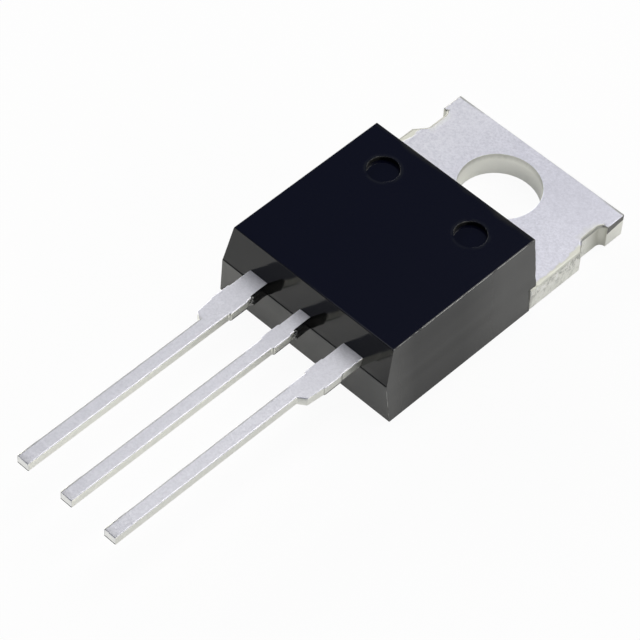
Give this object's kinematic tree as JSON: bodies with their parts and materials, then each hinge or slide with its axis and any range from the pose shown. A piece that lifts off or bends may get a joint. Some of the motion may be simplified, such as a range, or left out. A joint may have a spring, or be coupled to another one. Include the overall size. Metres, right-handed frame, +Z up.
{
  "type": "moulded power rectifier diode",
  "caption": "Flat black moulded power rectifier with a tinned metal screw tab at one end and a row of straight flat leads at the other.",
  "frame": {"origin": "centre of the screw hole on the mounting face of the tab", "axes": "+X from the left lead to the right lead, +Y towards the free end of the tab, +Z up from the mounting face"},
  "size_m": [0.01, 0.0287, 0.0042],
  "materials": {
    "black_epoxy": "smooth black moulded epoxy, half gloss",
    "tinned_copper": "matte tin plating with a fine grain, sheared edges brighter and rougher",
    "silicon": "polished silicon with a metallised top",
    "solder": "dull soft solder",
    "bond_wire": "drawn aluminium wire"
  },
  "bodies": {
    "root": {"mould_body": "black_epoxy", "tab_with_middle_lead": "tinned_copper", "left_lead": "tinned_copper", "right_lead": "tinned_copper", "left_die": "silicon", "left_die_solder": "solder", "left_bond_wire": "bond_wire", "right_die": "silicon", "right_die_solder": "solder", "right_bond_wire": "bond_wire"}
  },
  "joints": []
}
